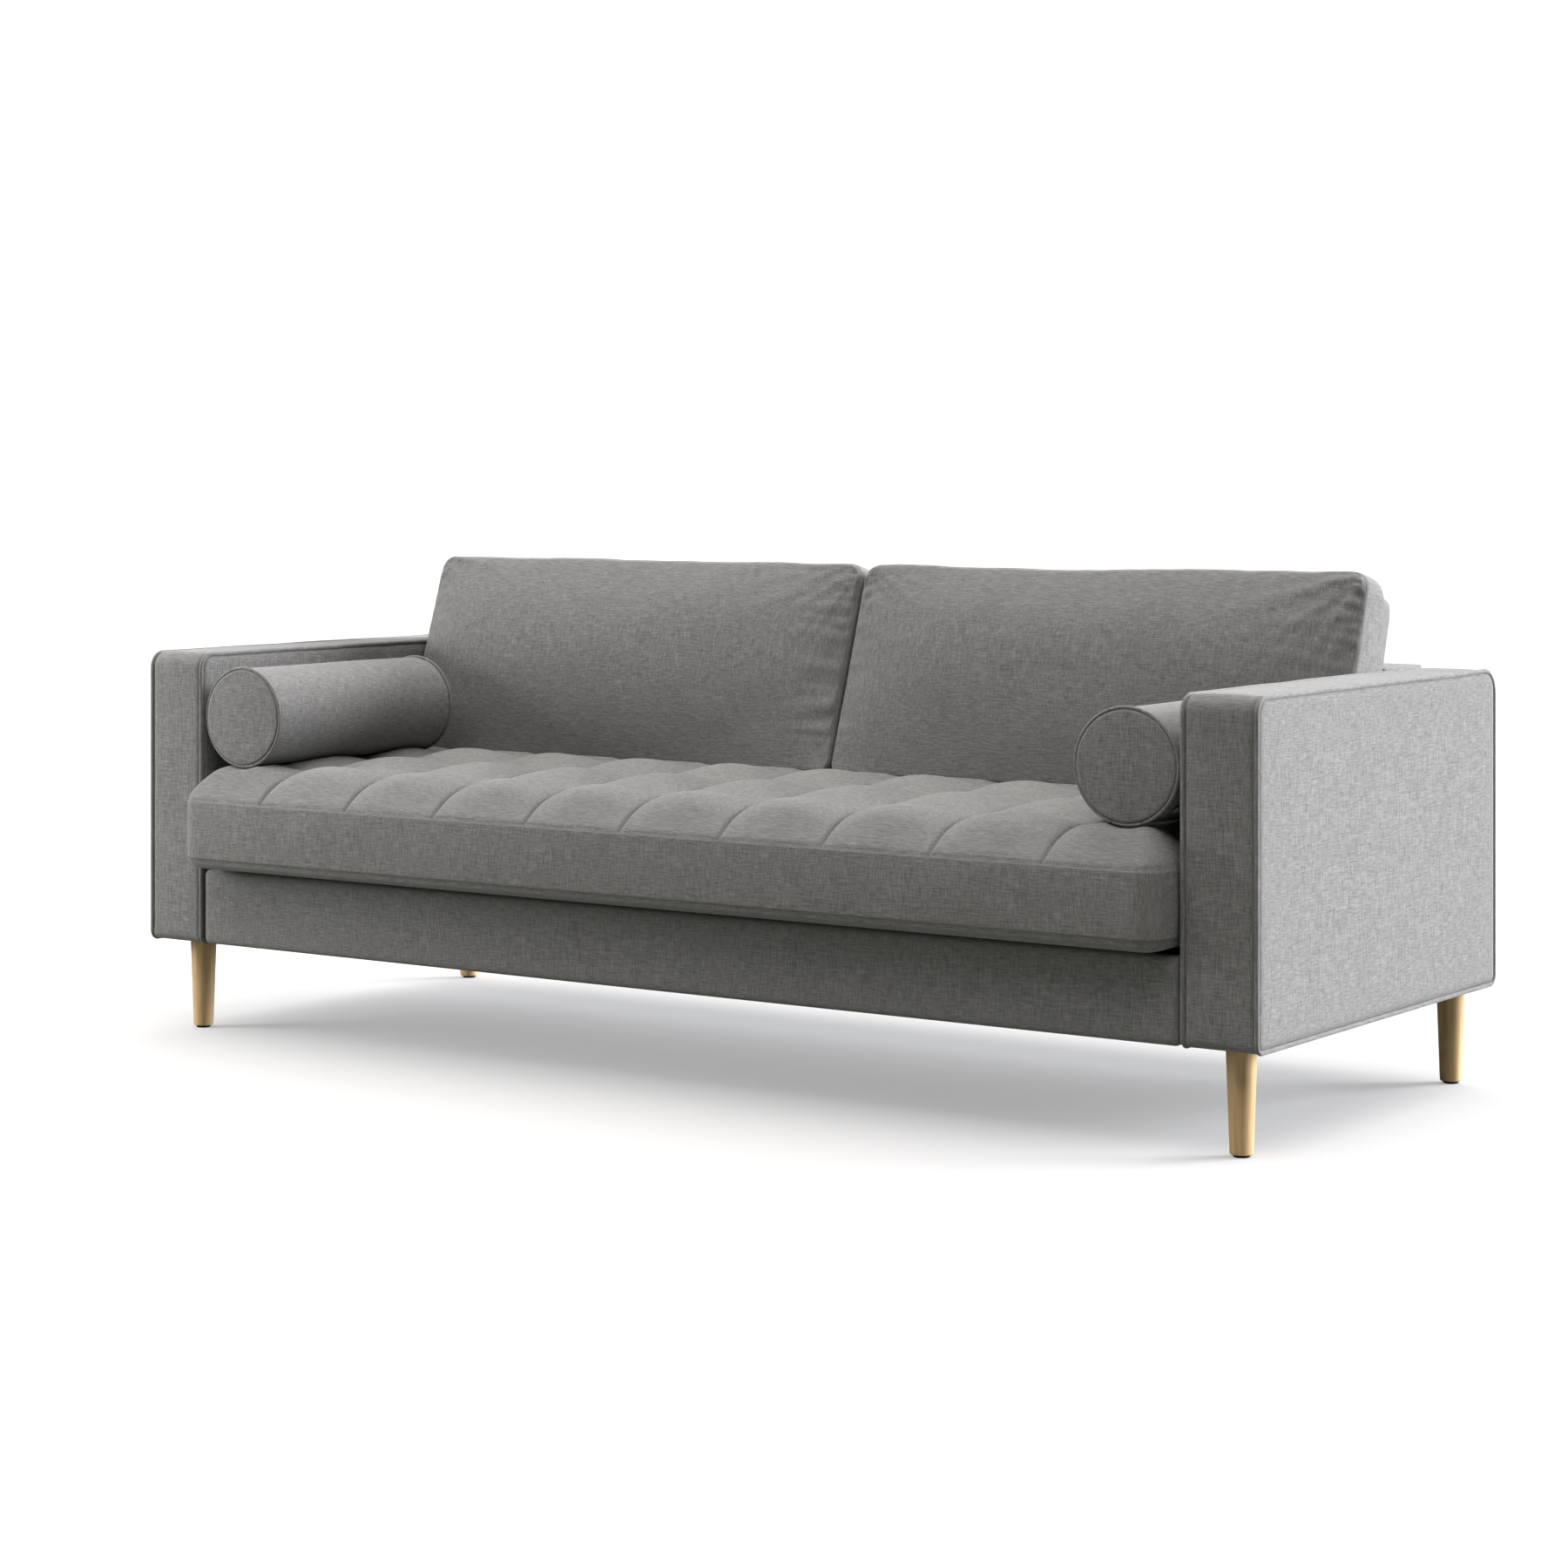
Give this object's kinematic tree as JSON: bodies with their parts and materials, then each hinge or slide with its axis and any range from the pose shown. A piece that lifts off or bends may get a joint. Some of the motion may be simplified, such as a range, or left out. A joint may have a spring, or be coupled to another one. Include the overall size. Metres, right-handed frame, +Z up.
{
  "type": "three-seat sofa",
  "caption": "Three-seat sofa with box arms, welted edges, tufted bench cushion, loose back cushions, bolsters and tapered wooden legs.",
  "frame": {"origin": "on the floor, below the middle of the sofa's outer box", "axes": "+X from the left arm to the right arm as seen from the front (the longest extent), +Y from the front to the back, +Z up; the sofa faces -Y"},
  "size_m": [2.24, 0.93, 0.8482],
  "materials": {
    "upholstery": "woven melange linen-look fabric",
    "oak": "clear satin oiled oak",
    "frame_timber": "sawn kiln-dried softwood",
    "plywood": "raw birch plywood",
    "fibreboard": "raw hardboard",
    "foam": "open-cell foam wrapped in wadding",
    "felt": "needled felt",
    "deck_cloth": "plain deck cloth",
    "webbing": "elastic webbing",
    "dust_cloth": "non-woven dust cloth",
    "spring_steel": "drawn spring wire",
    "zinc_steel": "zinc plated",
    "glide_plastic": "matte nylon",
    "zip_tape": "woven tape with moulded teeth",
    "zip_metal": "die-cast, satin"
  },
  "bodies": {
    "frame": {"arm_base_covers": "dust_cloth", "arm_bolt_nuts": "zinc_steel", "arm_bolt_washers": "zinc_steel", "arm_bolts": "zinc_steel", "arm_boxing_left": "upholstery", "arm_boxing_right": "upholstery", "arm_frames": "frame_timber", "arm_inside_cover_left": "upholstery", "arm_inside_cover_right": "upholstery", "arm_outside_cover_left": "upholstery", "arm_outside_cover_right": "upholstery", "arm_panels": "fibreboard", "arm_welts_left": "upholstery", "arm_welts_right": "upholstery", "back_inside_cover": "upholstery", "back_outside_cover": "upholstery", "back_rails": "frame_timber", "back_ribs": "plywood", "back_top_cover": "upholstery", "back_webbing": "webbing", "corner_blocks": "frame_timber", "deck_cover": "deck_cloth", "deck_felt": "felt", "dust_cover": "dust_cloth", "front_rail_cover": "upholstery", "hanger_bolts": "zinc_steel", "leg_front_left": "oak", "leg_front_right": "oak", "leg_glides": "glide_plastic", "leg_rear_left": "oak", "leg_rear_right": "oak", "leg_tee_nuts": "zinc_steel", "seat_long_rails": "frame_timber", "seat_side_rails": "frame_timber", "seat_springs": "spring_steel", "seat_stretchers": "frame_timber", "spring_clips": "spring_steel", "spring_tie_wires": "spring_steel"},
    "seat_cushion": {"seat_cushion_cover": "upholstery", "seat_cushion_core": "foam", "seat_cushion_zip": "zip_tape"},
    "seat_zip_slider": {"seat_zip_slider": "zip_metal"},
    "back_cushion_left": {"back_cushion_cover_left": "upholstery", "back_cushion_core_left": "foam", "back_cushion_zip_left": "zip_tape"},
    "bolster_left": {"bolster_cover_left": "upholstery", "bolster_core_left": "foam", "bolster_welts_left": "upholstery", "bolster_zip_left": "zip_tape"},
    "back_zip_slider_left": {"back_zip_slider_left": "zip_metal"},
    "bolster_zip_slider_left": {"bolster_zip_slider_left": "zip_metal"},
    "back_cushion_right": {"back_cushion_cover_right": "upholstery", "back_cushion_core_right": "foam", "back_cushion_zip_right": "zip_tape"},
    "bolster_right": {"bolster_cover_right": "upholstery", "bolster_core_right": "foam", "bolster_welts_right": "upholstery", "bolster_zip_right": "zip_tape"},
    "back_zip_slider_right": {"back_zip_slider_right": "zip_metal"},
    "bolster_zip_slider_right": {"bolster_zip_slider_right": "zip_metal"}
  },
  "joints": [
    {"name": "seat_cushion_lift", "type": "slide", "parent": "frame", "child": "seat_cushion", "axis": [0, 0, 1], "range_m": [0, 0.45]},
    {"name": "seat_zip", "type": "slide", "parent": "seat_cushion", "child": "seat_zip_slider", "axis": [1, 0, 0], "range_m": [0, 1.388]},
    {"name": "back_cushion_left_lift", "type": "slide", "parent": "seat_cushion", "child": "back_cushion_left", "axis": [0, 0, 1], "range_m": [0, 0.45]},
    {"name": "bolster_left_lift", "type": "slide", "parent": "seat_cushion", "child": "bolster_left", "axis": [0, 0, 1], "range_m": [0, 0.4]},
    {"name": "back_cushion_left_zip", "type": "slide", "parent": "back_cushion_left", "child": "back_zip_slider_left", "axis": [1, 0, 0], "range_m": [0, 0.748]},
    {"name": "bolster_left_zip", "type": "slide", "parent": "bolster_left", "child": "bolster_zip_slider_left", "axis": [0, 1, 0], "range_m": [0, 0.388]},
    {"name": "back_cushion_right_lift", "type": "slide", "parent": "seat_cushion", "child": "back_cushion_right", "axis": [0, 0, 1], "range_m": [0, 0.45]},
    {"name": "bolster_right_lift", "type": "slide", "parent": "seat_cushion", "child": "bolster_right", "axis": [0, 0, 1], "range_m": [0, 0.4]},
    {"name": "back_cushion_right_zip", "type": "slide", "parent": "back_cushion_right", "child": "back_zip_slider_right", "axis": [1, 0, 0], "range_m": [0, 0.748]},
    {"name": "bolster_right_zip", "type": "slide", "parent": "bolster_right", "child": "bolster_zip_slider_right", "axis": [0, 1, 0], "range_m": [0, 0.388]}
  ]
}
